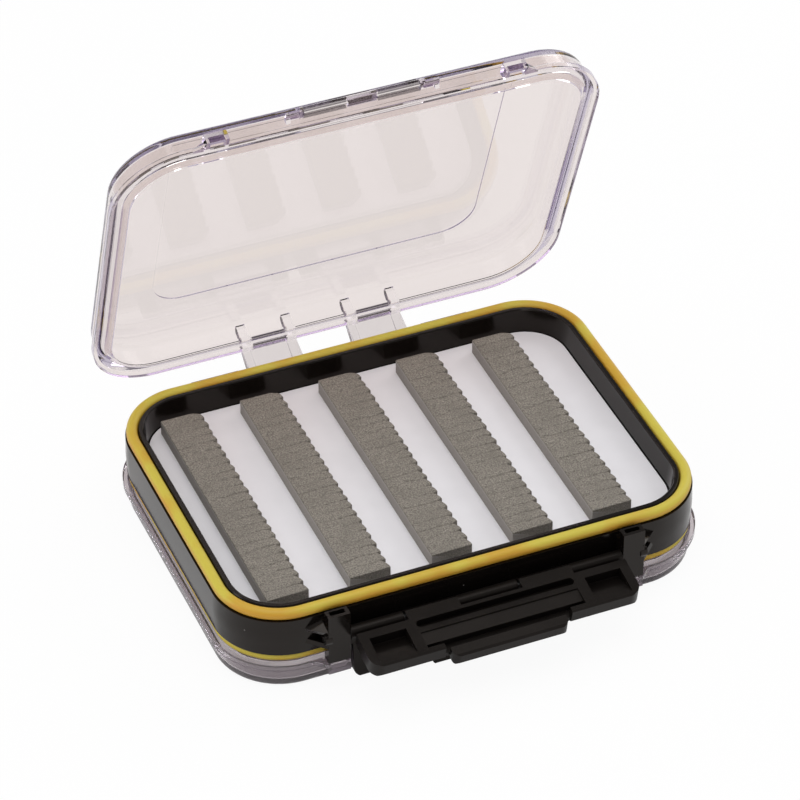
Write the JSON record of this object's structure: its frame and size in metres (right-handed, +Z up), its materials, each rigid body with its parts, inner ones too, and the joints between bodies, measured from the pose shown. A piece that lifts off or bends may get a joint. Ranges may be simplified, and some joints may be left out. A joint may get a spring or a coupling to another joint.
{
  "type": "fly box",
  "caption": "Two-sided fly box with a black frame, clear hinged lids, rubber seals, slit-foam strips and snap latches on a shared pin.",
  "frame": {"origin": "middle of the lower lid's flat outer face, which the box stands on", "axes": "+X along the box's length, +Y from the latches to the hinges, +Z up through the upper side"},
  "size_m": [0.1294, 0.1291, 0.1149],
  "materials": {
    "black_frame": "satin moulded",
    "black_latch": "satin moulded",
    "seal_rubber": "smooth",
    "white_sheet": "smooth",
    "grey_foam": "closed-cell foam",
    "clear_plastic": "clear, polished",
    "pin_steel": "drawn wire"
  },
  "bodies": {
    "base": {"body_frame": "black_frame", "upper_gasket": "seal_rubber", "lower_gasket": "seal_rubber", "upper_liner": "white_sheet", "lower_liner": "white_sheet", "upper_foam_strip_1": "grey_foam", "upper_foam_strip_2": "grey_foam", "upper_foam_strip_3": "grey_foam", "upper_foam_strip_4": "grey_foam", "upper_foam_strip_5": "grey_foam", "lower_foam_strip_1": "grey_foam", "lower_foam_strip_2": "grey_foam", "lower_foam_strip_3": "grey_foam", "lower_foam_strip_4": "grey_foam", "lower_foam_strip_5": "grey_foam", "latch_pin": "pin_steel", "hinge_pin_left": "pin_steel", "hinge_pin_right": "pin_steel"},
    "upper_lid": {"upper_lid": "clear_plastic"},
    "lower_lid": {"lower_lid": "clear_plastic"},
    "upper_latch": {"upper_latch": "black_latch"},
    "lower_latch": {"lower_latch": "black_latch"}
  },
  "joints": [
    {"name": "upper_lid_hinge", "type": "hinge", "parent": "base", "child": "upper_lid", "pos_m": [0, 0.05, 0.0162], "axis": [-1, 0, 0], "range_deg": [-70.2, 21.8]},
    {"name": "lower_lid_hinge", "type": "hinge", "parent": "base", "child": "lower_lid", "pos_m": [0, 0.05, 0.0162], "axis": [1, 0, 0], "range_deg": [0, 92]},
    {"name": "upper_latch_hinge", "type": "hinge", "parent": "base", "child": "upper_latch", "pos_m": [0, -0.0499, 0.0162], "axis": [1, 0, 0], "range_deg": [-100.5, 0]},
    {"name": "lower_latch_hinge", "type": "hinge", "parent": "base", "child": "lower_latch", "pos_m": [0, -0.0499, 0.0162], "axis": [-1, 0, 0], "range_deg": [0, 40]}
  ]
}
